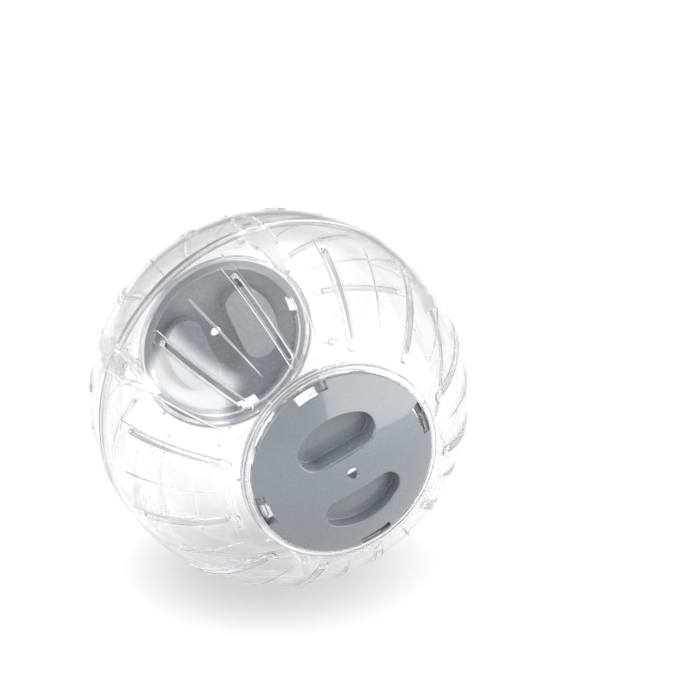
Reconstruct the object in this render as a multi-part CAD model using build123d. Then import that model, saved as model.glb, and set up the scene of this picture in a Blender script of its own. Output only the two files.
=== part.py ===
from build123d import *
import os
from math import asin, cos, degrees, radians, sin, sqrt

# Clear exercise ball for a dwarf hamster: two snapped half shells and two twist-lock lids.
# Millimetres and degrees. The origin is the centre of the ball, +Z is up, the lids face -Y and +Y.
# A half is drawn with the pole of its lid on +Z and the seam in the XY plane, then turned into place.

# Ball
ball_diameter = 140.0
shell_wall = 2.0
roll_angle = 22.7
seam_chamfer = 0.3
bead_height = 2.4
bead_depth = 0.8

# Vent slots, each in a raised rim on the outside
slot_count = 12
slot_width = 2.0
slot_to_rim_at_lid = 4.0
slot_to_rim_at_seam = 6.4
rim_width_at_lid = 3.6
rim_width_at_seam = 4.3
rim_height = 0.6
rim_to_opening = 7.3
rim_to_seam = 16.5

# Thin ribs on the outside, halfway between clips and in line with each clip
rib_width = 0.8
rib_height = 0.6
rib_slope = 1.0
rib_sink = 0.05
rib_to_opening = 8.1
rib_to_seam = 19.0

# Snap clips inside the seam: solid tongues alternate with the hollow pockets that take them
clip_count = 6
clip_width = 9.5
clip_neck_width = 5.9
clip_shoulder = 11.8
clip_neck = 14.2
clip_length = 29.8
clip_bulge = 0.7
tongue_width = 5.4
tongue_thickness = 1.4
tongue_reach = 8.0
tongue_root = 4.0
barb_length = 2.2
barb_height = 0.9
barb_width = 3.2
strap_width = 3.0
strap_thickness = 1.4
pocket_arm = 1.6
clip_gap = 0.3

# Lid
lid_diameter = 68.4
lid_wall = 2.0
lid_rim_width = 3.6
lid_rim_depth = 3.5
axle_hole_diameter = 4.2
bar_width = 15.0
grip_reach = 21.8
grip_depth = 9.0
grip_corner_share = 0.4
grip_wall = 1.6
grip_edge_chamfer = 0.5

# Collar and seat of the half shell round the lid
lid_gap = 0.35
seat_gap = 0.3
seat_width = 3.0
seat_thickness = 1.6
collar_wall = 1.8
gusset_reach = 2.6
gusset_thickness = 0.8
gusset_angle = 21.5

# Bayonet: tabs of the half shell in notched recesses of the lid
tab_count = 4
tab_width = 8.2
tab_overlap = 2.2
tab_thickness = 1.4
tab_gap = 0.3
twist_angle = 7.0

# Depth by which a feature is sunk into the wall that carries it, and a distance that counts as touching
root = 0.5
near = 0.01

# Radii and heights worked out from the sizes above
ball_radius = ball_diameter / 2
inner_radius = ball_radius - shell_wall
lid_radius = lid_diameter / 2
opening_radius = lid_radius + lid_gap
collar_radius = opening_radius + collar_wall
lid_edge_z = sqrt(ball_radius**2 - lid_radius**2)
lid_rim_z = lid_edge_z - lid_rim_depth
seat_z = lid_rim_z - seat_gap
seat_bottom_z = seat_z - seat_thickness
tab_inner_radius = lid_radius - tab_overlap
tongue_outer_radius = inner_radius - clip_gap
tongue_inner_radius = tongue_outer_radius - tongue_thickness
strap_outer_radius = tongue_inner_radius - clip_gap
strap_inner_radius = strap_outer_radius - strap_thickness
catch_z = tongue_reach - barb_length
grip_floor_z = ball_radius - grip_depth
grip_corner_radius = grip_corner_share * (grip_reach - bar_width / 2)

# Angles worked out from the sizes above
slot_step = 360 / slot_count
clip_step = 360 / clip_count
clip_start = slot_step / 2
turn_axis_angle = clip_start + clip_step / 2
tab_angle = degrees(tab_width / lid_radius)
tab_gap_angle = degrees(tab_gap / tab_inner_radius)
recess_angle = tab_angle + twist_angle + 2 * tab_gap_angle
notch_angle = tab_angle + 2 * tab_gap_angle


def polar_of(radius, ball):
    """Angle from the pole of the circle of a radius on a ball."""
    return degrees(asin(radius / ball))


def arc_angle(length):
    """Angle at the centre of the ball for a length along its surface."""
    return degrees(length / ball_radius)


def on_meridian(radius, polar):
    """Point of the meridian plane at a radius and an angle from the pole."""
    return (radius * sin(radians(polar)), radius * cos(radians(polar)))


def meridian_arc(radius, from_polar, to_polar):
    """Arc of the meridian plane about the centre of the ball."""
    middle = (from_polar + to_polar) / 2
    return ThreePointArc(
        on_meridian(radius, from_polar),
        on_meridian(radius, middle),
        on_meridian(radius, to_polar),
    )


def revolved(lines, start=0, arc=360):
    """Solid swept round the pole by a closed outline of the meridian plane."""
    outline = Plane.XZ * make_face(Curve() + lines)
    return Rot(0, 0, start) * revolve(outline, Axis.Z, arc)


def fin(lines, thickness):
    """Flat web of a thickness that stands in the meridian plane."""
    return extrude(Plane.XZ * make_face(Curve() + lines), thickness / 2, both=True)


def ball_shell(outer, inner):
    """Spherical wall between two radii, its surface seam on the -X side, away from what is cut from it."""
    return Rot(0, 0, 180) * (Sphere(outer) - Sphere(inner))


def around(solid, count, start=0.0):
    """Copies of a solid at even steps round the pole."""
    return [Rot(0, 0, start + step * 360 / count) * solid for step in range(count)]


# Half shell

opening_polar = polar_of(opening_radius, ball_radius)
rim_polars = (opening_polar + arc_angle(rim_to_opening), 90 - arc_angle(rim_to_seam))
rib_polars = (opening_polar + arc_angle(rib_to_opening), 90 - arc_angle(rib_to_seam))
clip_tip_polar = 90 - polar_of(clip_length, inner_radius)


def wall_with_collar():
    """Wall of the half, with the bead inside its seam and the collar and seat for the lid."""
    opening_z = sqrt(ball_radius**2 - opening_radius**2)
    collar_polar = polar_of(collar_radius, inner_radius)
    bead_polar = 90 - polar_of(bead_height, inner_radius)
    seat_radius = opening_radius - seat_width
    bead_radius = inner_radius - bead_depth
    chamfer_polar = 90 - arc_angle(seam_chamfer)
    return revolved(
        [
            meridian_arc(ball_radius, chamfer_polar, opening_polar),
            Polyline(
                (opening_radius, opening_z),
                (opening_radius, seat_z),
                (seat_radius, seat_z),
                (seat_radius, seat_bottom_z),
                (collar_radius, seat_bottom_z),
                on_meridian(inner_radius, collar_polar),
            ),
            meridian_arc(inner_radius, collar_polar, bead_polar),
            Polyline(
                on_meridian(inner_radius, bead_polar),
                (bead_radius, bead_height),
                (bead_radius, 0),
                (ball_radius - seam_chamfer, 0),
                on_meridian(ball_radius, chamfer_polar),
            ),
        ],
        slot_step / 4,
    )


def rim_and_slot():
    """Raised rim of a vent slot, and the cutter for the slot inside it."""
    middle = radians(sum(rim_polars) / 2)
    half_span = radians(rim_polars[1] - rim_polars[0]) / 2
    across = Plane(
        origin=(0, 0, 0),
        x_dir=(cos(middle), 0, -sin(middle)),
        z_dir=(sin(middle), 0, cos(middle)),
    )
    half_length = ball_radius * sin(half_span)
    lid_end = Pos(rim_width_at_lid / 2 - half_length, 0) * Circle(rim_width_at_lid / 2)
    seam_end = Pos(half_length - rim_width_at_seam / 2, 0) * Circle(rim_width_at_seam / 2)
    rim_outline = make_hull((lid_end + seam_end).edges())
    rim_radius = ball_radius + rim_height
    rim = extrude(across * rim_outline, rim_radius) & ball_shell(rim_radius, ball_radius - root)
    slot_length = 2 * half_length - slot_to_rim_at_lid - slot_to_rim_at_seam
    slot_middle = (slot_to_rim_at_lid - slot_to_rim_at_seam) / 2
    slot_outline = Pos(slot_middle, 0) * SlotOverall(slot_length, slot_width)
    start = inner_radius * cos(half_span) - root
    slot = extrude(across.offset(start) * slot_outline, rim_radius - start + root)
    return rim, slot


def rib(from_polar, to_polar):
    """Thin fin on the outside, highest towards the seam and fading out towards the lid."""
    foot = ball_radius - root
    crest_polar = to_polar - arc_angle(rib_slope)
    crest = on_meridian(ball_radius + rib_height, crest_polar)
    half_way = on_meridian(ball_radius + rib_height, (from_polar + crest_polar) / 2)
    lid_end = on_meridian(ball_radius - rib_sink, from_polar)
    return fin(
        [
            meridian_arc(foot, from_polar, to_polar),
            Line(on_meridian(foot, to_polar), crest),
            ThreePointArc(crest, half_way, lid_end),
            Line(lid_end, on_meridian(foot, from_polar)),
        ],
        rib_width,
    )


def bayonet_tab():
    """Tab of the opening that reaches over the rim of the lid, flush with the ball outside."""
    under_radius = ball_radius - tab_thickness
    tab_root_radius = opening_radius + root
    outer_polars = [polar_of(r, ball_radius) for r in (tab_inner_radius, tab_root_radius)]
    under_polars = [polar_of(r, under_radius) for r in (tab_inner_radius, tab_root_radius)]
    outline = [
        meridian_arc(ball_radius, *outer_polars),
        Line(on_meridian(ball_radius, outer_polars[1]), on_meridian(under_radius, under_polars[1])),
        meridian_arc(under_radius, *reversed(under_polars)),
        Line(on_meridian(under_radius, under_polars[0]), on_meridian(ball_radius, outer_polars[0])),
    ]
    return revolved(outline, -(tab_angle + twist_angle) / 2, tab_angle)


def gusset():
    """Small web between the outside of the collar and the inside of the wall."""
    tip_radius = collar_radius + gusset_reach
    tip_z = sqrt(inner_radius**2 - tip_radius**2) + root
    top_z = sqrt(inner_radius**2 - collar_radius**2) + root
    foot_radius = collar_radius - root
    outline = Polyline((foot_radius, seat_bottom_z), (tip_radius, tip_z), (foot_radius, top_z), close=True)
    return fin([outline], gusset_thickness)


def clip_outline():
    """Spearhead outline of a clip seen from outside, its base on the seam."""
    half_base = clip_width / 2
    half_neck = clip_neck_width / 2
    right = Polyline((0, 0), (half_base, 0), (half_base, clip_shoulder), (half_neck, clip_neck))
    side = SagittaArc((half_neck, clip_neck), (0, clip_length), -clip_bulge)
    half = Curve() + [right, side]
    return make_face(half + mirror(half, Plane.YZ))


def from_seam(outline, outer, inner):
    """Solid of an outline seen along +X, kept between two radii."""
    return extrude(Plane.YZ * outline, ball_radius) & ball_shell(outer, inner)


def strip(width, from_z, to_z):
    """Upright strip of an outline seen along +X."""
    return Pos(0, (from_z + to_z) / 2) * Rectangle(width, to_z - from_z)


def tongue_clip():
    """Solid spearhead with a tongue that crosses the seam and ends in a barb."""
    spear = from_seam(clip_outline(), inner_radius + root, tongue_inner_radius)
    tongue_outline = strip(tongue_width, -tongue_reach, tongue_root)
    tongue = from_seam(tongue_outline, tongue_outer_radius, tongue_inner_radius)
    catch_radius = sqrt(tongue_inner_radius**2 - catch_z**2)
    tip_radius = sqrt(tongue_inner_radius**2 - tongue_reach**2)
    barb = fin(
        [
            Polyline(
                (catch_radius + root, -catch_z),
                (catch_radius - barb_height, -catch_z),
                (tip_radius, -tongue_reach),
                (tip_radius + root, -tongue_reach),
                close=True,
            )
        ],
        barb_width,
    )
    return spear + tongue + barb


def pocket_clip():
    """Hollow spearhead with a strap, behind which the barb of the facing tongue catches."""
    mouth_width = clip_width - 2 * pocket_arm
    frame = clip_outline() - offset(clip_outline(), -pocket_arm) - strip(mouth_width, 0, clip_shoulder)
    strap_top = catch_z - clip_gap
    strap = strip(clip_width - pocket_arm, strap_top - strap_width, strap_top)
    return from_seam(frame, inner_radius + root, strap_inner_radius) + from_seam(
        strap, strap_outer_radius, strap_inner_radius
    )


def pocket_mouth():
    """Cutter that opens the bead at a pocket for the facing tongue."""
    return from_seam(
        strip(clip_width - 2 * pocket_arm, 0, bead_height), inner_radius, strap_inner_radius
    )


def half_shell():
    """Clear half of the ball."""
    rim, slot = rim_and_slot()
    pairs = clip_count // 2
    rib_start = clip_start + clip_step / 2
    shell = wall_with_collar() - around(pocket_mouth(), pairs, clip_start)
    shell += around(rim, slot_count)
    shell += around(rib(*rib_polars), clip_count, rib_start)
    shell += around(rib(rib_polars[0], clip_tip_polar), clip_count, clip_start)
    shell += around(pocket_clip(), pairs, clip_start)
    shell += around(tongue_clip(), pairs, clip_start + clip_step)
    shell += around(bayonet_tab(), tab_count)
    shell += around(gusset(), tab_count, gusset_angle)
    shell += around(gusset(), tab_count, -gusset_angle)
    return shell - around(slot, slot_count)


# Lid


def grip_outline(margin=0.0):
    """D outline of a finger grip beside the bar, widened by a margin."""
    disc = Circle(grip_reach + margin)
    bar_half = bar_width / 2 - margin
    beside_bar = Pos(0, bar_half + disc.radius) * Rectangle(2 * disc.radius, 2 * disc.radius)
    outline = disc & beside_bar
    return fillet(outline.vertices(), grip_corner_radius + margin)


def dome():
    """Domed cap with a thick rim below its edge."""
    inside = ball_radius - lid_wall
    rim_inner_radius = lid_radius - lid_rim_width
    edge_polar = polar_of(lid_radius, ball_radius)
    inner_polar = polar_of(rim_inner_radius, inside)
    return revolved(
        [
            meridian_arc(ball_radius, 0, edge_polar),
            Polyline(
                (lid_radius, lid_edge_z),
                (lid_radius, lid_rim_z),
                (rim_inner_radius, lid_rim_z),
                on_meridian(inside, inner_polar),
            ),
            meridian_arc(inside, inner_polar, 0),
            Line((0, inside), (0, ball_radius)),
        ]
    )


def rim_recess():
    """Cutter for one recess of the rim: a ledge under the tab and a notch that lets the tab through."""
    recess_radius = tab_inner_radius - tab_gap
    past_radius = lid_radius + root
    ledge_radius = ball_radius - tab_thickness - tab_gap
    polars = [polar_of(r, ledge_radius) for r in (recess_radius, past_radius)]
    ledge = revolved(
        [
            meridian_arc(ledge_radius, *polars),
            Polyline(
                on_meridian(ledge_radius, polars[1]),
                (past_radius, ball_radius),
                (recess_radius, ball_radius),
                on_meridian(ledge_radius, polars[0]),
            ),
        ],
        -recess_angle / 2,
        recess_angle,
    )
    below_rim = lid_rim_z - root
    notch = revolved(
        [
            Polyline(
                (recess_radius, below_rim),
                (past_radius, below_rim),
                (past_radius, ball_radius),
                (recess_radius, ball_radius),
                close=True,
            )
        ],
        recess_angle / 2 - notch_angle,
        notch_angle,
    )
    return ledge + notch


def is_grip_mouth(edge):
    """True for an edge where a finger grip opens in the outer face of the dome."""
    points = [edge.position_at(share) for share in (0.0, 0.5, 1.0)]
    on_ball = all(abs(point.length - ball_radius) < near for point in points)
    reach = max(sqrt(point.X**2 + point.Y**2) for point in points)
    return on_ball and reach < grip_reach + near


def lid():
    """Grey lid with a grip bar between two finger grips."""
    boss_bottom = grip_floor_z - grip_wall
    boss_outline = Pos(0, 0, boss_bottom) * grip_outline(grip_wall)
    boss = extrude(boss_outline, ball_radius - boss_bottom) & Sphere(ball_radius)
    cavity = extrude(Pos(0, 0, grip_floor_z) * grip_outline(), grip_depth + root)
    solid = dome() + around(boss, 2) - around(cavity, 2)
    solid = chamfer(solid.edges().filter_by(is_grip_mouth), grip_edge_chamfer)
    axle_hole = Pos(0, 0, ball_radius) * Cylinder(axle_hole_diameter / 2, 2 * grip_depth)
    return solid - axle_hole - around(rim_recess(), tab_count)


# Front end faces -Y. The rear end is the same pair of mouldings, turned about a line of the seam.
front_place = Rot(90, 0, 0) * Rot(0, 0, roll_angle)
end_to_end = Rot(0, 0, turn_axis_angle) * Rot(180, 0, 0) * Rot(0, 0, -turn_axis_angle)
half = half_shell()
cap = lid()
pieces = {
    "front_half_shell": front_place * half,
    "rear_half_shell": front_place * end_to_end * half,
    "front_lid": front_place * cap,
    "rear_lid": front_place * end_to_end * cap,
}

os.makedirs("parts", exist_ok=True)
for name, solid in pieces.items():
    export_step(solid, f"parts/{name}.step")
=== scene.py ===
from math import asin, cos, pi, radians, sin, sqrt

import bpy
from mathutils import Euler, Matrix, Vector


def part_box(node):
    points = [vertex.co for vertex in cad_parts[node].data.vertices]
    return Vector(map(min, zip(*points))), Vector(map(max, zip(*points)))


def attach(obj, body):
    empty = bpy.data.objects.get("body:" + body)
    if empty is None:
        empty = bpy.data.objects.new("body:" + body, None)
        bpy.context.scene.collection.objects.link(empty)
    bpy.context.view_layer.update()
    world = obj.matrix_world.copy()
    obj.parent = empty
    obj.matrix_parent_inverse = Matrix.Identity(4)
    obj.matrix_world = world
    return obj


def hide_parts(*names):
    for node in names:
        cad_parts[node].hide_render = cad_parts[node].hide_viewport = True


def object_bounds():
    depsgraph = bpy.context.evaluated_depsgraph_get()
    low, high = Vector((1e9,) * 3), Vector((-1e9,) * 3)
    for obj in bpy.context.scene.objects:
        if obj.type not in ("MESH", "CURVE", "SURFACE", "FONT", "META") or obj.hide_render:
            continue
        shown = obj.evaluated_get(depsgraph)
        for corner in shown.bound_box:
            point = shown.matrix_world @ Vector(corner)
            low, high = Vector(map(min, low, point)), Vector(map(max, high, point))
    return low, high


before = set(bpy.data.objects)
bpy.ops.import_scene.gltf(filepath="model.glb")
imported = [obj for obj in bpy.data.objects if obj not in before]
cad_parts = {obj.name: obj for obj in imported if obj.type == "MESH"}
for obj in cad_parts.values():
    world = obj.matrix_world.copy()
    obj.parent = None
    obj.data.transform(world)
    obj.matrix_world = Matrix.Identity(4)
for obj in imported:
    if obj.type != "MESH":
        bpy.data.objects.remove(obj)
cad_low, cad_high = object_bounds()

# Wall of a half shell: one clear polystyrene moulding, two of which snap together into the ball.
# The spherical wall turns down at the lid's opening into a collar and a seat, and thickens at the seam.
# It is drawn with the pole of its lid on +Z and the seam on the XY plane, in metres.
mm = 0.001
ball_radius = (cad_high.x - cad_low.x) / 2
lid_radius = (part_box("front_lid")[1].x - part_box("front_lid")[0].x) / 2
shell_wall = 2 * mm
shell_segments, shell_rings = 288, 144
lid_clearance = 0.35 * mm
opening_radius = lid_radius + lid_clearance
opening_height = sqrt(ball_radius**2 - opening_radius**2)
opening_polar = asin(opening_radius / ball_radius)
opening_round = 0.35 * mm
seat_height = 57.28 * mm
seat_width = 3 * mm
seat_radius = opening_radius - seat_width
seam_gap = 0.04 * mm
seam_round = 0.3 * mm
bead_height = 2.4 * mm
bead_depth = 0.8 * mm
touch = 0.02 * mm


def pick(piece, kind, test):
    """Goes into edit mode with only those parts of a piece selected whose corners pass a test."""
    bpy.context.view_layer.objects.active = piece
    bpy.ops.object.mode_set(mode="EDIT")
    bpy.ops.mesh.select_mode(type=kind)
    bpy.ops.mesh.select_all(action="DESELECT")
    bpy.ops.object.mode_set(mode="OBJECT")
    points = piece.data.vertices
    if kind == "VERT":
        for point in points:
            point.select = test([point.co])
    else:
        for part in piece.data.edges if kind == "EDGE" else piece.data.polygons:
            part.select = test([points[i].co for i in part.vertices])
    bpy.ops.object.mode_set(mode="EDIT")


def finish_with(piece, kind, **settings):
    """Gives a piece a modifier and applies it."""
    bpy.context.view_layer.objects.active = piece
    bpy.ops.object.mode_set(mode="OBJECT")
    modifier = piece.modifiers.new(kind, kind)
    for name, value in settings.items():
        setattr(modifier, name, value)
    bpy.ops.object.modifier_apply(modifier=modifier.name)


def place(piece, location=(0, 0, 0), turn=(0, 0, 0), size=(1, 1, 1)):
    """Scales, turns and moves a piece, with its place kept in its mesh."""
    bpy.ops.object.mode_set(mode="OBJECT")
    bpy.ops.object.select_all(action="DESELECT")
    piece.select_set(True)
    bpy.context.view_layer.objects.active = piece
    piece.location, piece.rotation_euler, piece.scale = location, turn, size
    bpy.ops.object.transform_apply()


def new_piece(name):
    """Names the primitive that was just added."""
    bpy.context.object.name = name
    return bpy.context.object


def at_height(height):
    """Test for parts of a mesh that lie at a height."""
    return lambda corners: all(abs(c.z - height) < touch for c in corners)


bpy.ops.object.select_all(action="DESELECT")
bpy.ops.mesh.primitive_uv_sphere_add(segments=shell_segments, ring_count=shell_rings, radius=ball_radius)
half_shell = new_piece("front_shell_moulding")
bpy.ops.object.mode_set(mode="EDIT")
for height, below, above in (
    (seam_gap, True, False),
    (bead_height, False, False),
    (opening_height, False, True),
):
    bpy.ops.mesh.select_all(action="SELECT")
    bpy.ops.mesh.bisect(
        plane_co=(0, 0, height),
        plane_no=(0, 0, 1),
        clear_inner=below,
        clear_outer=above,
        threshold=touch / 10,
    )
pick(half_shell, "EDGE", at_height(opening_height))
bpy.ops.mesh.extrude_region_move(TRANSFORM_OT_translate={"value": (0, 0, seat_height - opening_height)})
bpy.ops.mesh.extrude_region_move()
bpy.ops.transform.resize(value=(seat_radius / opening_radius, seat_radius / opening_radius, 1))
pick(half_shell, "EDGE", at_height(opening_height))
bpy.ops.mesh.bevel(offset=opening_round, segments=3)
bpy.ops.mesh.select_all(action="SELECT")
bpy.ops.mesh.normals_make_consistent(inside=False)
finish_with(half_shell, "SOLIDIFY", thickness=shell_wall, offset=-1, use_even_offset=True)
inner_radius = ball_radius - shell_wall
pick(
    half_shell,
    "FACE",
    lambda corners: all(c.z < bead_height and abs(c.length - inner_radius) < 10 * touch for c in corners),
)
bpy.ops.mesh.extrude_region_shrink_fatten(TRANSFORM_OT_shrink_fatten={"value": bead_depth})
pick(
    half_shell,
    "EDGE",
    lambda corners: all(c.z < seam_gap + touch and c.length > ball_radius - touch for c in corners),
)
bpy.ops.mesh.bevel(offset=seam_round, segments=2)
bpy.ops.object.mode_set(mode="OBJECT")

# Vent slots: twelve long slots of the half shell, each in a raised rim with rounded edges.
# They are moulded with the wall, so each rim is drawn flat, bent round the ball and merged with it.
slot_count = 12
slot_width = 2 * mm
slot_depth = 3.5 * mm
slot_round = 0.25 * mm
slot_flare_step = 30
rim_height = 0.6 * mm
rim_root = 0.8 * mm
rim_round = 0.3 * mm
rim_width_at_lid = 3.6 * mm
rim_width_at_seam = 4.3 * mm
rim_from_opening = 7.3 * mm
seam_to_opening = ball_radius * (pi / 2 - opening_polar)
rim_top = seam_to_opening - rim_from_opening
rim_bottom = 16.5 * mm
slot_from_rim_top = 4 * mm
slot_from_rim_bottom = 6.4 * mm
slot_top = rim_top - slot_from_rim_top
slot_bottom = rim_bottom + slot_from_rim_bottom
slot_half_length = (slot_top - slot_bottom) / 2
end_round_share = 0.499
bend_step = 1.5 * mm
cutter_past = 1 * mm


def stadium(name, width, bottom, top, level):
    """Flat upright face with round ends at a level above the ball, +X outwards and +Z along the meridian."""
    bpy.ops.mesh.primitive_plane_add(size=1, rotation=(0, pi / 2, 0))
    piece = new_piece(name)
    bpy.ops.object.transform_apply()
    place(piece, (level, 0, (top + bottom) / 2), size=(1, width, top - bottom))
    bpy.ops.object.mode_set(mode="EDIT")
    bpy.ops.mesh.bevel(affect="VERTICES", offset=end_round_share * width, segments=12)
    return piece


def bend_round_ball(piece):
    """Cuts a flat upright piece across at even steps and bends it round the ball from the seam upwards."""
    bpy.context.view_layer.objects.active = piece
    heights = [v.co.z for v in piece.data.vertices]
    low, high = min(heights), max(heights)
    steps = round((high - low) / bend_step)
    bpy.ops.object.mode_set(mode="EDIT")
    for step in range(1, steps):
        bpy.ops.mesh.select_all(action="SELECT")
        bpy.ops.mesh.bisect(plane_co=(0, 0, low + step * (high - low) / steps), plane_no=(0, 0, 1))
    bpy.ops.mesh.select_all(action="SELECT")
    bpy.ops.mesh.normals_make_consistent(inside=False)
    finish_with(
        piece, "SIMPLE_DEFORM", deform_method="BEND", deform_axis="Y", angle=-(high - low) / ball_radius
    )
    place(piece, (ball_radius, 0, 0))


def ring_of(piece, count, start=0.0):
    """Copies a piece to even steps round the pole and joins the copies into one."""
    copies = [piece] + [piece.copy() for _ in range(1, count)]
    bpy.ops.object.select_all(action="DESELECT")
    for step, copy in enumerate(copies):
        if step:
            copy.data = piece.data.copy()
            bpy.context.collection.objects.link(copy)
        copy.rotation_euler.z = radians(start + step * 360 / count)
        copy.select_set(True)
    bpy.context.view_layer.objects.active = piece
    bpy.ops.object.transform_apply()
    bpy.ops.object.join()
    return piece


def merge(piece, tool, operation="UNION"):
    """Adds the solid of a tool to a piece, or cuts it away, and drops the tool."""
    finish_with(piece, "BOOLEAN", object=tool, operation=operation, solver="MANIFOLD")
    bpy.data.objects.remove(tool)


rim = stadium("slot_rims", rim_width_at_lid, rim_bottom, rim_top, -rim_root)
pick(rim, "VERT", lambda corners: corners[0].z < (rim_top + rim_bottom) / 2)
bpy.ops.transform.resize(value=(1, rim_width_at_seam / rim_width_at_lid, 1))
bpy.ops.mesh.select_all(action="SELECT")
bpy.ops.mesh.extrude_region_move(TRANSFORM_OT_translate={"value": (rim_height + rim_root, 0, 0)})
pick(rim, "EDGE", lambda corners: all(c.x > rim_height - touch for c in corners))
bpy.ops.mesh.bevel(offset=rim_round, segments=3)
bpy.ops.object.mode_set(mode="OBJECT")
bend_round_ball(rim)
merge(half_shell, ring_of(rim, slot_count))

slot = stadium("slot_cutters", slot_width, slot_bottom, slot_top, -slot_depth)
bpy.ops.mesh.select_all(action="SELECT")
bpy.ops.mesh.extrude_region_move(
    TRANSFORM_OT_translate={"value": (slot_depth + rim_height - slot_round, 0, 0)}
)
flare = 0.0
for angle in (30, 60, 85):
    rise = slot_round * (sin(radians(angle)) - sin(radians(angle - slot_flare_step)))
    widened = slot_round * (1 - cos(radians(angle)))
    bpy.ops.mesh.extrude_region_move(TRANSFORM_OT_translate={"value": (rise, 0, 0)})
    grow = (slot_width / 2 + widened) / (slot_width / 2 + flare)
    lengthen = (slot_half_length + widened) / (slot_half_length + flare)
    bpy.ops.transform.resize(value=(1, grow, lengthen))
    flare = widened
bpy.ops.mesh.extrude_region_move(TRANSFORM_OT_translate={"value": (cutter_past, 0, 0)})
bpy.ops.object.mode_set(mode="OBJECT")
bend_round_ball(slot)
slots = ring_of(slot, slot_count)

# Ribs: thin stiffening ribs on the outside, half way between the clips and in line with each clip.
# They are moulded with the wall, stand highest near the seam and fade out towards the lid.
rib_count = 6
rib_start = 15.0
rib_width = 0.8 * mm
rib_height = 0.6 * mm
rib_root = 0.5 * mm
rib_round = 0.28 * mm
rib_from_opening = 8.1 * mm
rib_top = seam_to_opening - rib_from_opening
rib_bottom = 19 * mm
rib_foot_slope = 1 * mm
rib_tip_sink = 0.05 * mm
rib_tip_share = 0.4
clip_length = 29.8 * mm


def rib(name, bottom, top):
    """Flat rib along the meridian, its crest rounded and falling to the wall at the top end."""
    bpy.ops.mesh.primitive_cube_add(size=1)
    piece = new_piece(name)
    place(
        piece,
        ((rib_height - rib_root) / 2, 0, (bottom + top) / 2),
        size=(rib_height + rib_root, rib_width, top - bottom),
    )
    bpy.ops.object.mode_set(mode="EDIT")
    bpy.ops.mesh.select_all(action="SELECT")
    bpy.ops.mesh.bisect(plane_co=(0, 0, (bottom + top) / 2), plane_no=(0, 0, 1))
    pick(piece, "VERT", lambda corners: corners[0].x > 0 and corners[0].z > top - touch)
    bpy.ops.transform.translate(value=(-rib_height - rib_tip_sink, 0, 0))
    pick(piece, "VERT", lambda corners: corners[0].z > top - touch)
    bpy.ops.transform.resize(value=(1, rib_tip_share, 1))
    pick(piece, "VERT", lambda corners: corners[0].x > 0 and corners[0].z < bottom + touch)
    bpy.ops.transform.translate(value=(0, 0, rib_foot_slope))
    pick(
        piece,
        "EDGE",
        lambda corners: all(c.x > -2 * rib_tip_sink for c in corners) and corners[0].y * corners[1].y > 0,
    )
    bpy.ops.mesh.bevel(offset=rib_round, segments=3)
    bpy.ops.object.mode_set(mode="OBJECT")
    bend_round_ball(piece)
    return piece


merge(half_shell, ring_of(rib("long_ribs", rib_bottom, rib_top), rib_count, rib_start + 180 / rib_count))
merge(half_shell, ring_of(rib("clip_ribs", clip_length, rib_top), rib_count, rib_start))
merge(half_shell, slots, "DIFFERENCE")

# Snap clips: six spearheads inside the seam, moulded with the wall. Three are solid and carry a barbed
# tongue that crosses the seam, and three are hollow, with a strap that the barb of the other half catches.
clip_count = 6
clip_half_width = 4.75 * mm
clip_half_neck = 2.95 * mm
clip_shoulder = 11.8 * mm
clip_neck = 14.2 * mm
clip_bulge = 0.7 * mm
clip_foot = -1.5 * mm
tongue_face = -3.7 * mm
tongue_back = -2.3 * mm
tongue_half_width = 2.7 * mm
tongue_reach = 8 * mm
tongue_root = 4 * mm
barb_length = 2.2 * mm
barb_height = 0.9 * mm
barb_half_width = 1.6 * mm
barb_root = 0.5 * mm
strap_face = -5.4 * mm
strap_back = -4 * mm
strap_bottom = 2.5 * mm
strap_top = 5.5 * mm
pocket_arm = 1.6 * mm
pocket_half_neck = 1.3 * mm
pocket_tip = 21.2 * mm
mouth_clearance = 0.1 * mm
mouth_past_bead = 0.5 * mm


def block(name, low, high):
    """Box between two corners."""
    bpy.ops.object.select_all(action="DESELECT")
    bpy.ops.mesh.primitive_cube_add(size=1)
    piece = new_piece(name)
    middle = [(a + b) / 2 for a, b in zip(low, high)]
    place(piece, middle, size=[b - a for a, b in zip(low, high)])
    return piece


def spear(name, base, half_base, half_neck, tip, face):
    """Spearhead plate that grows from a base towards the lid, between a face level and the wall."""
    bpy.ops.object.select_all(action="DESELECT")
    bpy.ops.mesh.primitive_plane_add(size=1)
    piece = new_piece(name)
    place(piece, ((face + clip_foot) / 2, 0, base), size=(clip_foot - face, 2 * half_base, 1))
    sections = [(clip_shoulder, half_base), (clip_neck, half_neck)]
    for share in (0.2, 0.4, 0.6, 0.8, 0.98):
        bulge = clip_bulge * 4 * share * (1 - share)
        sections.append((clip_neck + share * (tip - clip_neck), half_neck * (1 - share) + bulge))
    bpy.ops.object.mode_set(mode="EDIT")
    bpy.ops.mesh.select_all(action="SELECT")
    height, half_width = base, half_base
    for next_height, next_half_width in sections:
        bpy.ops.mesh.extrude_region_move(
            TRANSFORM_OT_translate={"value": (0, 0, next_height - height)}
        )
        bpy.ops.transform.resize(value=(1, next_half_width / half_width, 1))
        height, half_width = next_height, next_half_width
    bpy.ops.mesh.select_all(action="SELECT")
    bpy.ops.mesh.normals_make_consistent(inside=False)
    bpy.ops.object.mode_set(mode="OBJECT")
    return piece


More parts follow.
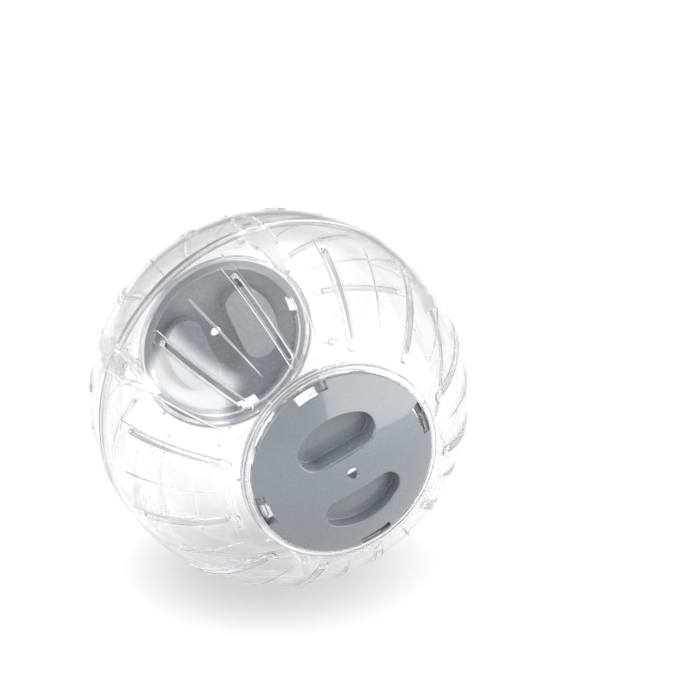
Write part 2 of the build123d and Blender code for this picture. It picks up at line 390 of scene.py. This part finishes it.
tongue_clip = spear("tongue_clips", seam_gap, clip_half_width, clip_half_neck, clip_length, tongue_face)
tongue_low = (tongue_face, -tongue_half_width, -tongue_reach)
merge(tongue_clip, block("tongue", tongue_low, (tongue_back, tongue_half_width, tongue_root)))
barb = block(
    "barb",
    (tongue_face - barb_height, -barb_half_width, -tongue_reach),
    (tongue_face + barb_root, barb_half_width, barb_length - tongue_reach),
)
pick(barb, "VERT", lambda corners: corners[0].x < tongue_face and corners[0].z < touch - tongue_reach)
bpy.ops.transform.translate(value=(barb_height, 0, 0))
bpy.ops.object.mode_set(mode="OBJECT")
merge(tongue_clip, barb)
bend_round_ball(tongue_clip)

pocket_half_width = clip_half_width - pocket_arm
pocket_clip = spear("pocket_clips", seam_gap, clip_half_width, clip_half_neck, clip_length, strap_face)
hollow_face = strap_face - cutter_past
hollow = spear(
    "pocket_hollow", -cutter_past, pocket_half_width, pocket_half_neck, pocket_tip, hollow_face
)
pick(hollow, "VERT", lambda corners: corners[0].x > strap_face)
bpy.ops.transform.translate(value=(cutter_past, 0, 0))
bpy.ops.object.mode_set(mode="OBJECT")
merge(pocket_clip, hollow, "DIFFERENCE")
strap_half_width = clip_half_width - pocket_arm / 2
merge(
    pocket_clip,
    block(
        "strap",
        (strap_face, -strap_half_width, strap_bottom),
        (strap_back, strap_half_width, strap_top),
    ),
)
bend_round_ball(pocket_clip)
mouth = block(
    "pocket_mouths",
    (strap_face, -pocket_half_width, -cutter_past),
    (-shell_wall - mouth_clearance, pocket_half_width, bead_height + mouth_past_bead),
)
bend_round_ball(mouth)
merge(half_shell, ring_of(mouth, clip_count // 2, rib_start), "DIFFERENCE")
merge(half_shell, ring_of(pocket_clip, clip_count // 2, rib_start))
merge(half_shell, ring_of(tongue_clip, clip_count // 2, rib_start + 360 / clip_count))

# Bayonet tabs and gussets: four tabs of the opening reach over the rim of the lid, flush with the ball,
# and eight small gussets stiffen the collar. They are moulded with the wall.
tab_count = 4
tab_angle = 13.7
tab_start = -10.4
tab_thickness = 1.4 * mm
tab_inner_radius = lid_radius - 2.2 * mm
tab_root_radius = opening_radius + 0.5 * mm
tab_round = 0.2 * mm
tab_edge_angle = 40
sharp_edge_angle = 32
collar_radius = opening_radius + shell_wall
gusset_reach = 2.6 * mm
gusset_root = 0.5 * mm
gusset_half_width = 0.4 * mm
gusset_height = 1.4 * mm
gusset_slope = 0.6 * mm
gusset_angle = 21.5


def tilted_strip(name, inner, outer, thickness):
    """Upright face in the meridian plane between two distances from the axis, its top edge on the ball."""
    bpy.ops.object.select_all(action="DESELECT")
    polar = asin((inner + outer) / 2 / ball_radius)
    bpy.ops.mesh.primitive_plane_add(size=1, rotation=(pi / 2, 0, 0))
    piece = new_piece(name)
    bpy.ops.object.transform_apply()
    place(
        piece,
        (0, 0, ball_radius - thickness / 2),
        size=((outer - inner) / cos(polar), 1, thickness),
    )
    place(piece, turn=(0, polar, 0))
    return piece


def spin(piece, start, angle):
    """Sweeps a face of the meridian plane round the pole into a solid."""
    place(piece, turn=(0, 0, radians(start)))
    bpy.ops.object.mode_set(mode="EDIT")
    bpy.ops.mesh.select_all(action="SELECT")
    bpy.ops.mesh.spin(steps=round(angle), angle=radians(angle), center=(0, 0, 0), axis=(0, 0, -1))
    bpy.ops.mesh.select_all(action="SELECT")
    bpy.ops.mesh.remove_doubles(threshold=touch / 4)
    bpy.ops.mesh.normals_make_consistent(inside=False)
    bpy.ops.object.mode_set(mode="OBJECT")


tab = tilted_strip("bayonet_tabs", tab_inner_radius, tab_root_radius, tab_thickness)
spin(tab, tab_start, tab_angle)
tab_edge = radians(tab_edge_angle)
finish_with(tab, "BEVEL", width=tab_round, segments=2, limit_method="ANGLE", angle_limit=tab_edge)
merge(half_shell, ring_of(tab, tab_count))
for side in (-1, 1):
    gusset = block(
        "gussets",
        (collar_radius - gusset_root, -gusset_half_width, seat_height - gusset_height),
        (collar_radius + gusset_reach, gusset_half_width, seat_height),
    )
    pick(gusset, "VERT", lambda corners: corners[0].z < seat_height - touch and corners[0].x > collar_radius)
    bpy.ops.transform.translate(value=(0, 0, gusset_slope))
    bpy.ops.object.mode_set(mode="OBJECT")
    merge(half_shell, ring_of(gusset, tab_count, side * gusset_angle))


def smooth(piece):
    """Shades a piece smooth but for its edges, with the large faces leading the normals."""
    bpy.ops.object.mode_set(mode="OBJECT")
    bpy.ops.object.select_all(action="DESELECT")
    piece.select_set(True)
    bpy.context.view_layer.objects.active = piece
    bpy.ops.object.shade_smooth_by_angle(angle=radians(sharp_edge_angle))
    finish_with(piece, "WEIGHTED_NORMAL", keep_sharp=True)


smooth(half_shell)

# Clear plastic of both half shells: glossy polystyrene with a faint cool tint and soft mould waves, frosted
# on the clips inside the seam and matt on the upright walls of slots and ribs. The front half faces -Y,
# and the same moulding, turned half round about a line of the seam, snaps on as the rear half.
clear_tint = (0.99, 0.99, 0.992, 1)
clear_tint_thick = (0.972, 0.972, 0.978, 1)
clear_depth = (0.95, 0.95, 0.96, 1)
clear_index = 1.58
passing_tint = (0.98, 0.98, 0.982, 1)
frosted_roughness = 0.2
upright_roughness = 0.4
across_wall_limit = 0.35
along_axis_limit = 0.5
roll_angle = 22.7
seam_line_angle = 45.0
frost_radius = inner_radius - 0.5 * mm


class Shade:
    """Output of a shader node. Arithmetic on it adds Math nodes."""

    def __init__(self, tree, output=None):
        self.tree = tree
        self.output = output

    def node(self, kind, settings, inputs, output=0):
        """Adds a node, sets its settings and then the values or links of its sockets."""
        made = self.tree.nodes.new(kind)
        for name, value in settings.items():
            setattr(made, name, value)
        for name, value in inputs.items():
            if isinstance(value, Shade):
                self.tree.links.new(value.output, made.inputs[name])
            else:
                made.inputs[name].default_value = value
        return Shade(self.tree, made.outputs[output] if made.outputs else None)

    def math(self, operation, first, second):
        """Adds a Math node."""
        return self.node("ShaderNodeMath", {"operation": operation}, {0: first, 1: second})

    def __add__(self, other):
        return self.math("ADD", self, other)

    def __mul__(self, other):
        return self.math("MULTIPLY", self, other)

    def __truediv__(self, other):
        return self.math("DIVIDE", self, other)

    def __rsub__(self, other):
        return self.math("SUBTRACT", other, self)

    def __lt__(self, other):
        return self.math("LESS_THAN", self, other)

    def __abs__(self):
        return self.math("ABSOLUTE", self, 0.0)

    __radd__ = __add__
    __rmul__ = __mul__


def along(vector, axis):
    """How far a place or direction lies along an axis."""
    return shade.node("ShaderNodeVectorMath", {"operation": "DOT_PRODUCT"}, {0: vector, 1: axis}, "Value")


def new_material(name):
    """Empty material and a start for its nodes."""
    material = bpy.data.materials.new(name)
    material.use_nodes = True
    material.node_tree.nodes.clear()
    return material, Shade(material.node_tree)


clear_plastic, shade = new_material("clear_plastic")
place_on_piece = shade.node("ShaderNodeTexCoord", {}, {}, "Object")
waves = shade.node("ShaderNodeTexNoise", {}, {"Vector": place_on_piece, "Scale": 55.0, "Detail": 1.0})
scuffs = shade.node("ShaderNodeTexNoise", {}, {"Vector": place_on_piece, "Scale": 420.0, "Detail": 4.0})
from_centre = shade.node("ShaderNodeVectorMath", {"operation": "LENGTH"}, {0: place_on_piece}, "Value")
frosted = from_centre < frost_radius
facing = shade.node("ShaderNodeTexCoord", {}, {}, "Normal")
across_wall = abs(along(facing, place_on_piece) / from_centre) < across_wall_limit
upright = across_wall * (abs(along(facing, (0, 1, 0))) < along_axis_limit)
matt = frosted_roughness * frosted + upright_roughness * upright
tint = shade.node(
    "ShaderNodeMixRGB", {}, {"Fac": waves, "Color1": clear_tint, "Color2": clear_tint_thick}
)
moulded = shade.node("ShaderNodeBump", {}, {"Strength": 0.06, "Distance": 0.6 * mm, "Height": waves})
plastic = shade.node(
    "ShaderNodeBsdfPrincipled",
    {},
    {
        "Base Color": tint,
        "Roughness": 0.01 + 0.02 * scuffs + matt,
        "IOR": clear_index,
        "Transmission Weight": 1.0,
        "Normal": moulded,
    },
)
pass_light = shade.node("ShaderNodeBsdfTransparent", {}, {"Color": passing_tint})
to_lamp = shade.node("ShaderNodeLightPath", {}, {}, "Is Shadow Ray")
stray = shade.node("ShaderNodeLightPath", {}, {}, "Is Diffuse Ray")
lit_within = shade.node("ShaderNodeMixShader", {}, {0: stray, 1: plastic, 2: pass_light})
surface = shade.node("ShaderNodeMixShader", {}, {0: to_lamp, 1: lit_within, 2: pass_light})
depth = shade.node("ShaderNodeVolumeAbsorption", {}, {"Color": clear_depth, "Density": 50.0})
shade.node("ShaderNodeOutputMaterial", {}, {"Surface": surface, "Volume": depth})
half_shell.data.materials.clear()
half_shell.data.materials.append(clear_plastic)


def rear_copy(piece, name):
    """Copy of a front moulding for the rear, turned half round about a line of the seam."""
    copy = piece.copy()
    copy.data = piece.data.copy()
    copy.name = name
    bpy.context.collection.objects.link(copy)
    place(copy, turn=(0, 0, radians(-seam_line_angle)))
    place(copy, turn=(pi, 0, 0))
    place(copy, turn=(0, 0, radians(seam_line_angle)))
    return copy


def mount(piece, body, node):
    """Turns a moulding from its drawing to its place in the ball, on its body and in place of its node."""
    place(piece, turn=(0, 0, radians(roll_angle)))
    place(piece, turn=(pi / 2, 0, 0))
    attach(piece, body)
    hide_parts(node)


rear_shell = rear_copy(half_shell, "rear_shell_moulding")
mount(half_shell, "shell", "front_half_shell")
mount(rear_shell, "shell", "rear_half_shell")

# Lid: one moulding of glossy grey plastic, a dome that carries on the ball, with a thick rim.
# Two finger grips leave a bar across it, and a small round hole goes through the bar.
lid_wall = 2 * mm
dome_segments, dome_rings = 240, 180
lid_rim_width = 3.6 * mm
lid_rim_depth = 3.5 * mm
lid_edge_round = 0.35 * mm
lid_edge_height = sqrt(ball_radius**2 - lid_radius**2)
lid_rim_height = lid_edge_height - lid_rim_depth
lid_inner_radius = lid_radius - lid_rim_width
lid_inner_height = sqrt((ball_radius - lid_wall) ** 2 - lid_inner_radius**2)
weld = 0.1 * mm
hole_radius = 2.1 * mm
hole_depth = 8 * mm
hole_round = 0.3 * mm
hole_flare = 1.12
bar_width = 15 * mm
grip_reach = 21.8 * mm
grip_corner = 5.72 * mm
grip_wall = 1.6 * mm
grip_depth = 9 * mm
grip_floor = ball_radius - grip_depth
grip_round = 0.7 * mm
grip_flare_step = 25
grip_cutter_past = 6 * mm
grip_floor_round = 0.4 * mm


def dome(name, radius, height):
    """Cap of a ball above a height."""
    bpy.ops.object.select_all(action="DESELECT")
    bpy.ops.mesh.primitive_uv_sphere_add(segments=dome_segments, ring_count=dome_rings, radius=radius)
    piece = new_piece(name)
    bpy.ops.object.mode_set(mode="EDIT")
    bpy.ops.mesh.select_all(action="SELECT")
    bpy.ops.mesh.bisect(
        plane_co=(0, 0, height), plane_no=(0, 0, 1), clear_inner=True, threshold=touch / 10
    )
    bpy.ops.object.mode_set(mode="OBJECT")
    return piece


def grip_block(name, margin, floor):
    """Upright block of a finger grip's D outline, from a floor up past the ball."""
    reach = grip_reach + margin
    corner = grip_corner + margin
    corner_y = bar_width / 2 - margin + corner
    corner_x = sqrt((reach - corner) ** 2 - corner_y**2)
    depth = ball_radius - floor
    middle = (ball_radius + floor) / 2
    bpy.ops.object.select_all(action="DESELECT")
    bpy.ops.mesh.primitive_cylinder_add(vertices=180, radius=reach, depth=depth, location=(0, 0, middle))
    piece = new_piece(name)
    bpy.ops.object.transform_apply()
    bpy.ops.object.mode_set(mode="EDIT")
    bpy.ops.mesh.select_all(action="SELECT")
    arc_foot = corner_y * reach / (reach - corner)
    bpy.ops.mesh.bisect(plane_co=(0, arc_foot, 0), plane_no=(0, 1, 0), clear_inner=True, use_fill=True)
    for side in (-1, 1):
        bpy.ops.mesh.primitive_cylinder_add(
            vertices=96, radius=corner, depth=depth, location=(side * corner_x, corner_y, middle)
        )
    bpy.ops.mesh.select_all(action="SELECT")
    bpy.ops.mesh.convex_hull()
    bpy.ops.mesh.dissolve_limited(angle_limit=radians(0.5))
    bpy.ops.mesh.normals_make_consistent(inside=False)
    pick(piece, "EDGE", at_height(floor))
    bpy.ops.mesh.bevel(offset=grip_floor_round, segments=3)
    bpy.ops.object.mode_set(mode="OBJECT")
    return piece


lid = dome("front_lid_moulding", ball_radius, lid_edge_height)
pick(lid, "EDGE", at_height(lid_edge_height))
bpy.ops.mesh.extrude_region_move(TRANSFORM_OT_translate={"value": (0, 0, -lid_rim_depth)})
bpy.ops.mesh.extrude_region_move()
inward = lid_inner_radius / lid_radius
bpy.ops.transform.resize(value=(inward, inward, 1))
bpy.ops.mesh.extrude_region_move(
    TRANSFORM_OT_translate={"value": (0, 0, lid_inner_height - lid_rim_height)}
)
pick(lid, "EDGE", at_height(lid_edge_height))
bpy.ops.mesh.bevel(offset=lid_edge_round, segments=3)
bpy.ops.object.mode_set(mode="OBJECT")
dome("inner_dome", ball_radius - lid_wall, lid_inner_height)
lid.select_set(True)
bpy.context.view_layer.objects.active = lid
bpy.ops.object.join()
bpy.ops.object.mode_set(mode="EDIT")
bpy.ops.mesh.select_all(action="SELECT")
bpy.ops.mesh.remove_doubles(threshold=weld)
bpy.ops.mesh.normals_make_consistent(inside=False)
bpy.ops.object.mode_set(mode="OBJECT")

boss = grip_block("grip_bosses", grip_wall, grip_floor - grip_wall)
bpy.ops.object.select_all(action="DESELECT")
bpy.ops.mesh.primitive_uv_sphere_add(
    segments=dome_segments, ring_count=dome_rings, radius=ball_radius - lid_wall / 2
)
merge(boss, new_piece("middle_of_wall"), "INTERSECT")
merge(lid, ring_of(boss, 2))

cavity = grip_block("grip_cavities", 0, grip_floor)
for point in cavity.data.vertices:
    if point.co.z > ball_radius - touch:
        point.co.z = sqrt((ball_radius - grip_round) ** 2 - point.co.x**2 - point.co.y**2)
pick(cavity, "FACE", lambda corners: all(c.z > grip_floor + grip_depth / 4 for c in corners))
grip_half_length = max(v.co.x for v in cavity.data.vertices)
grip_half_width = (grip_reach - bar_width / 2) / 2
flare = 0.0
for angle in (25, 50, 75):
    rise = grip_round * (sin(radians(angle)) - sin(radians(angle - grip_flare_step)))
    widened = grip_round * (1 - cos(radians(angle)))
    bpy.ops.mesh.extrude_region_move(TRANSFORM_OT_translate={"value": (0, 0, rise)})
    bpy.ops.transform.resize(
        value=(
            (grip_half_length + widened) / (grip_half_length + flare),
            (grip_half_width + widened) / (grip_half_width + flare),
            1,
        ),
        center_override=(0, grip_half_width + bar_width / 2, 0),
    )
    flare = widened
bpy.ops.mesh.extrude_region_move(TRANSFORM_OT_translate={"value": (0, 0, grip_cutter_past)})
bpy.ops.mesh.select_all(action="SELECT")
bpy.ops.mesh.normals_make_consistent(inside=False)
bpy.ops.object.mode_set(mode="OBJECT")
merge(lid, ring_of(cavity, 2), "DIFFERENCE")

bpy.ops.object.select_all(action="DESELECT")
bpy.ops.mesh.primitive_cylinder_add(
    vertices=64,
    radius=hole_radius,
    depth=hole_depth,
    location=(0, 0, ball_radius - hole_round - hole_depth / 2),
)
bar_hole = new_piece("bar_hole")
bpy.ops.object.transform_apply()
pick(bar_hole, "FACE", at_height(ball_radius - hole_round))
bpy.ops.mesh.extrude_region_move(TRANSFORM_OT_translate={"value": (0, 0, hole_round)})
bpy.ops.transform.resize(value=(hole_flare, hole_flare, 1))
bpy.ops.mesh.extrude_region_move(TRANSFORM_OT_translate={"value": (0, 0, cutter_past)})
bpy.ops.object.mode_set(mode="OBJECT")
merge(lid, bar_hole, "DIFFERENCE")

# Bayonet recesses of the lid: under each tab of the shell a ledge, and beside it a notch through the rim.
# The notch lets the tab through, and a short turn then brings the ledge under it.
recess_start, recess_angle = -10.9, 21.8
notch_start, notch_angle = -3.9, 14.8
tab_clearance = 0.3 * mm
recess_radius = tab_inner_radius - tab_clearance
recess_past = lid_radius + 0.5 * mm
ledge_drop = tab_thickness + tab_clearance
notch_depth = 10 * mm
recess_lift = 3 * mm
ledge = tilted_strip("ledges", recess_radius, recess_past, ledge_drop)
pick(ledge, "VERT", lambda corners: corners[0].length > ball_radius - ledge_drop / 2)
bpy.ops.transform.translate(value=(0, 0, recess_lift))
bpy.ops.object.mode_set(mode="OBJECT")
spin(ledge, recess_start, recess_angle)
merge(lid, ring_of(ledge, tab_count), "DIFFERENCE")
notch = tilted_strip("notches", recess_radius, recess_past, notch_depth)
pick(notch, "VERT", lambda corners: corners[0].length > ball_radius - mm)
bpy.ops.transform.translate(value=(0, 0, recess_lift))
bpy.ops.object.mode_set(mode="OBJECT")
spin(notch, notch_start, notch_angle)
merge(lid, ring_of(notch, tab_count), "DIFFERENCE")
smooth(lid)

# Grey plastic of both lids: glossy cool grey polystyrene with a faint mould grain.
# Each lid drops into its opening past the tabs and turns a few degrees to lock; the rear one is a copy.
lid_grey = (0.191, 0.215, 0.234, 1)
lid_grey_pale = (0.197, 0.221, 0.24, 1)
grey_plastic, shade = new_material("grey_plastic")
place_on_piece = shade.node("ShaderNodeTexCoord", {}, {}, "Object")
clouds = shade.node("ShaderNodeTexNoise", {}, {"Vector": place_on_piece, "Scale": 900.0, "Detail": 2.0})
grain = shade.node("ShaderNodeTexNoise", {}, {"Vector": place_on_piece, "Scale": 1800.0, "Detail": 2.0})
grey = shade.node(
    "ShaderNodeMixRGB", {}, {"Fac": clouds, "Color1": lid_grey, "Color2": lid_grey_pale}
)
moulded = shade.node("ShaderNodeBump", {}, {"Strength": 0.01, "Distance": 0.05 * mm, "Height": grain})
plastic = shade.node(
    "ShaderNodeBsdfPrincipled",
    {},
    {
        "Base Color": grey,
        "Roughness": 0.24 + 0.06 * clouds,
        "IOR": 1.55,
        "Coat Weight": 0.9,
        "Coat Roughness": 0.06,
        "Normal": moulded,
    },
)
shade.node("ShaderNodeOutputMaterial", {}, {"Surface": plastic})
lid.data.materials.clear()
lid.data.materials.append(grey_plastic)

rear_lid = rear_copy(lid, "rear_lid_moulding")
mount(lid, "front_lid", "front_lid")
mount(rear_lid, "rear_lid", "rear_lid")

# Floor: a wide plain sheet under the ball that shows as white as the page but keeps the ball's shadow.
# Its glow makes up for the light that falls off away from the near soft box, and fades out far away.
# Under the ball it fades out too, which paints a contact shadow on top of the shadow the ball casts.
# In gloss and through clear plastic it counts half, so that the ball stands out from it.
floor_size = 14
floor_colour = (0.6, 0.6, 0.6, 1)
floor_glow, floor_glow_by_key = 0.44, 0.14
glow_share_in_plastic = 0.5
key_azimuth = radians(45)
key_side_start, key_side_end = -0.15, 0.35
painted_shadow_start, painted_shadow_end = 0.02, 0.075
far_start, far_end = 0.9, 1.3


def fade(value, start, end, low=0.0, high=1.0):
    """Goes smoothly from a low number at a start to a high one at an end."""
    ends = {"Value": value, "From Min": start, "From Max": end, "To Min": low, "To Max": high}
    return shade.node("ShaderNodeMapRange", {"interpolation_type": "SMOOTHSTEP"}, ends, "Result")


bpy.ops.object.select_all(action="DESELECT")
bpy.ops.mesh.primitive_plane_add(size=floor_size, location=(0, 0, cad_low.z))
floor = new_piece("floor")
floor_paper, shade = new_material("white_paper")
on_floor = shade.node("ShaderNodeTexCoord", {}, {}, "Object")
from_ball = shade.node("ShaderNodeVectorMath", {"operation": "LENGTH"}, {0: on_floor}, "Value")
towards_key = along(on_floor, (sin(key_azimuth), -cos(key_azimuth), 0))
glow_strength = fade(towards_key, key_side_start, key_side_end, floor_glow, floor_glow_by_key)
# Painted contact shadow: the floor's glow fades to nothing within a few centimetres of the ball.
glow_strength *= fade(from_ball, painted_shadow_start, painted_shadow_end)
glow_strength *= fade(from_ball, far_start, far_end, 1, 0)
to_camera = shade.node("ShaderNodeLightPath", {}, {}, "Is Camera Ray")
in_gloss = shade.node("ShaderNodeLightPath", {}, {}, "Is Glossy Ray")
through_clear = shade.node("ShaderNodeLightPath", {}, {}, "Is Transmission Ray")
glow_seen = to_camera + glow_share_in_plastic * (in_gloss + through_clear)
paper = shade.node("ShaderNodeBsdfDiffuse", {}, {"Color": floor_colour})
glow = shade.node(
    "ShaderNodeEmission", {}, {"Color": (1, 1, 1, 1), "Strength": glow_strength * glow_seen}
)
sheet = shade.node("ShaderNodeAddShader", {}, {0: paper, 1: glow})
shade.node("ShaderNodeOutputMaterial", {}, {"Surface": sheet})
floor.data.materials.append(floor_paper)

# Studio light: a dim white room with a bright soft box at the left and a pale ceiling, both far off,
# and one near soft box at the front right that lights the lid and the floor on its own side most.
room_low = (0.45, 0.45, 0.46, 1)
room_high = (0.3, 0.3, 0.31, 1)
wall_fade_start, wall_fade_end = 0.12, 0.6
key_width, key_height = 1.15, 0.85
key_distance, key_height_above = 0.72, 0.38
key_brightness = 2.15
watts_per_brightness = 4
room = bpy.data.worlds.new("studio")
bpy.context.scene.world = room
room.use_nodes = True
room.node_tree.nodes.clear()
shade = Shade(room.node_tree)
direction = shade.node("ShaderNodeTexCoord", {}, {}, "Generated")


def soft_box(azimuth, elevation, half_width, half_height, edge, brightness):
    """Light of a soft box in a direction of the room, its size and soft edge in degrees."""
    aim = Euler((radians(-elevation), 0, radians(azimuth))).to_matrix()
    right, ahead, up = (Vector(axis) for axis in zip(*((row[0], -row[1], row[2]) for row in aim)))
    wide, high, soft = (sin(radians(angle)) for angle in (half_width, half_height, edge))
    beside, above = abs(along(direction, right)), abs(along(direction, up))
    lit = fade(beside, wide + soft, wide - soft) * fade(above, high + soft, high - soft)
    return brightness * lit * fade(along(direction, ahead), 0, 0.05)


walls = shade.node(
    "ShaderNodeMixRGB",
    {},
    {
        "Fac": fade(along(direction, (0, 0, 1)), wall_fade_start, wall_fade_end),
        "Color1": room_low,
        "Color2": room_high,
    },
)
left_box = soft_box(azimuth=-84, elevation=22, half_width=29, half_height=14, edge=5, brightness=5.2)
ceiling = soft_box(azimuth=0, elevation=90, half_width=36, half_height=36, edge=8, brightness=0.8)
room_light = shade.node("ShaderNodeBackground", {}, {"Color": walls, "Strength": 1.0})
box_light = shade.node(
    "ShaderNodeBackground", {}, {"Color": (1, 1, 1, 1), "Strength": left_box + ceiling}
)
both = shade.node("ShaderNodeAddShader", {}, {0: room_light, 1: box_light})
shade.node("ShaderNodeOutputWorld", {}, {"Surface": both})

bpy.ops.object.light_add(type="AREA")
key = new_piece("key_soft_box")
key.data.shape = "RECTANGLE"
key.data.size, key.data.size_y = key_width, key_height
key.data.energy = watts_per_brightness * key_brightness * key_width * key_height
key.location = (key_distance * sin(key_azimuth), -key_distance * cos(key_azimuth), key_height_above)
key.rotation_euler = (pi / 2, 0, key_azimuth)
key.visible_camera = False

# Camera: a long lens, above and to the left of the front lid, aimed past the ball as in the photograph.
# Light runs far along the clear walls of the slots, so it may bounce many times before it is dropped.
camera_azimuth = radians(-21.55)
camera_elevation = radians(24.68)
camera_distance = 0.896
camera_aim = (0.0248, -0.0005, 0.0189)
camera_lens = 126.8
camera_sensor = 36
clear_bounces = 72
gloss_bounces = 24
bpy.ops.object.camera_add()
camera = new_piece("camera")
camera.location = (
    camera_distance * sin(camera_azimuth) * cos(camera_elevation),
    -camera_distance * cos(camera_azimuth) * cos(camera_elevation),
    camera_distance * sin(camera_elevation),
)
away = camera.location - Vector(camera_aim)
camera.rotation_euler = away.to_track_quat("Z", "Y").to_euler()
camera.data.lens = camera_lens
camera.data.sensor_width = camera_sensor
bpy.context.scene.camera = camera
bpy.context.scene.view_settings.view_transform = "Standard"
bpy.context.scene.cycles.max_bounces = clear_bounces
bpy.context.scene.cycles.transmission_bounces = clear_bounces
bpy.context.scene.cycles.glossy_bounces = gloss_bounces
